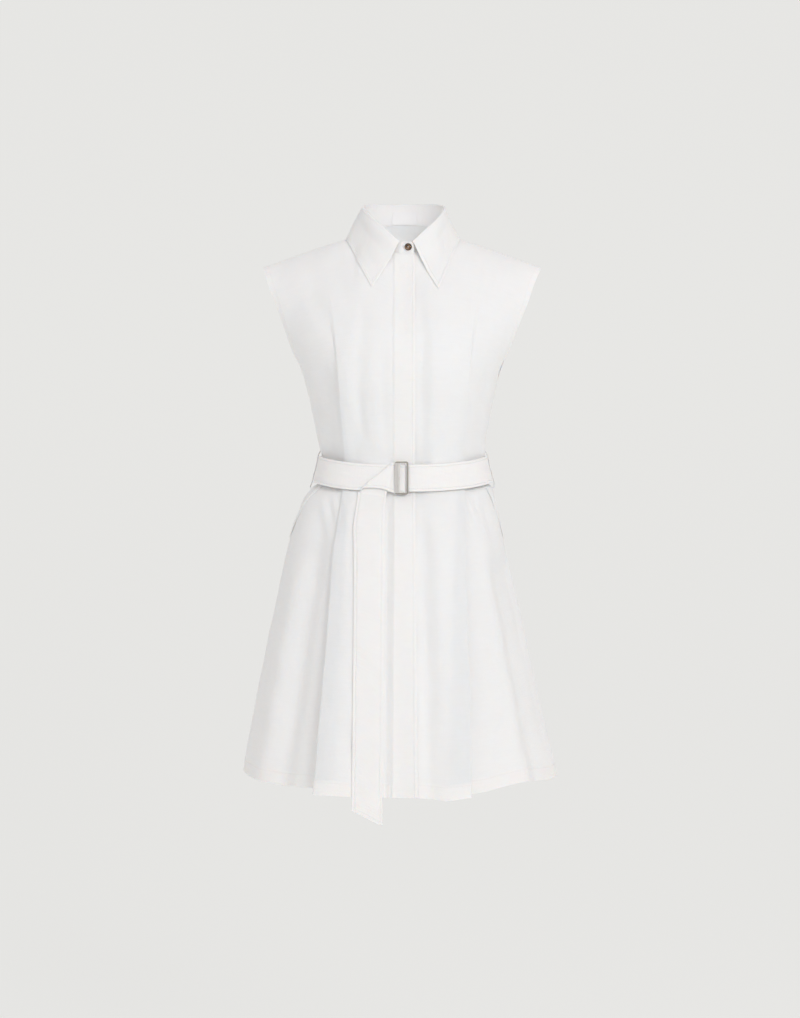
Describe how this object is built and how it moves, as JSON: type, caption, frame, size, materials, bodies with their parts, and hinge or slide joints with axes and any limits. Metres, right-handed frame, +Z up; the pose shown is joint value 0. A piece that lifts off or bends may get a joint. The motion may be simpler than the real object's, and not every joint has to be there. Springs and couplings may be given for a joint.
{
  "type": "shirt dress",
  "caption": "White sleeveless shirt dress, filled out as worn, with pointed collar, hidden button placket, flared pleated skirt and a self belt through a flat metal slide.",
  "frame": {"origin": "midway between the shoulder seams where they meet the neck, the height at which the dress hangs on its wearer", "axes": "+Z up along the wearer's body; the front of the dress faces -Y; the wearer's left side is at +X"},
  "size_m": [0.482, 0.3969, 0.9323],
  "materials": {
    "cotton": "matt white cotton, plain weave",
    "label": "smooth woven label tape",
    "horn": "dark horn-like, polished, mottled",
    "metal": "brushed, slightly dark"
  },
  "bodies": {
    "root": {"bodice_front_right": "cotton", "bodice_front_left": "cotton", "bodice_back": "cotton", "skirt_front_right": "cotton", "skirt_front_left": "cotton", "skirt_back": "cotton", "placket": "cotton", "collar_stand": "cotton", "collar": "cotton", "neck_label": "label", "collar_button": "horn", "belt": "cotton", "belt_tail": "cotton", "belt_slide": "metal", "belt_loop_right": "cotton", "belt_loop_left": "cotton", "pocket_band_right": "cotton", "pocket_band_left": "cotton"}
  },
  "joints": []
}
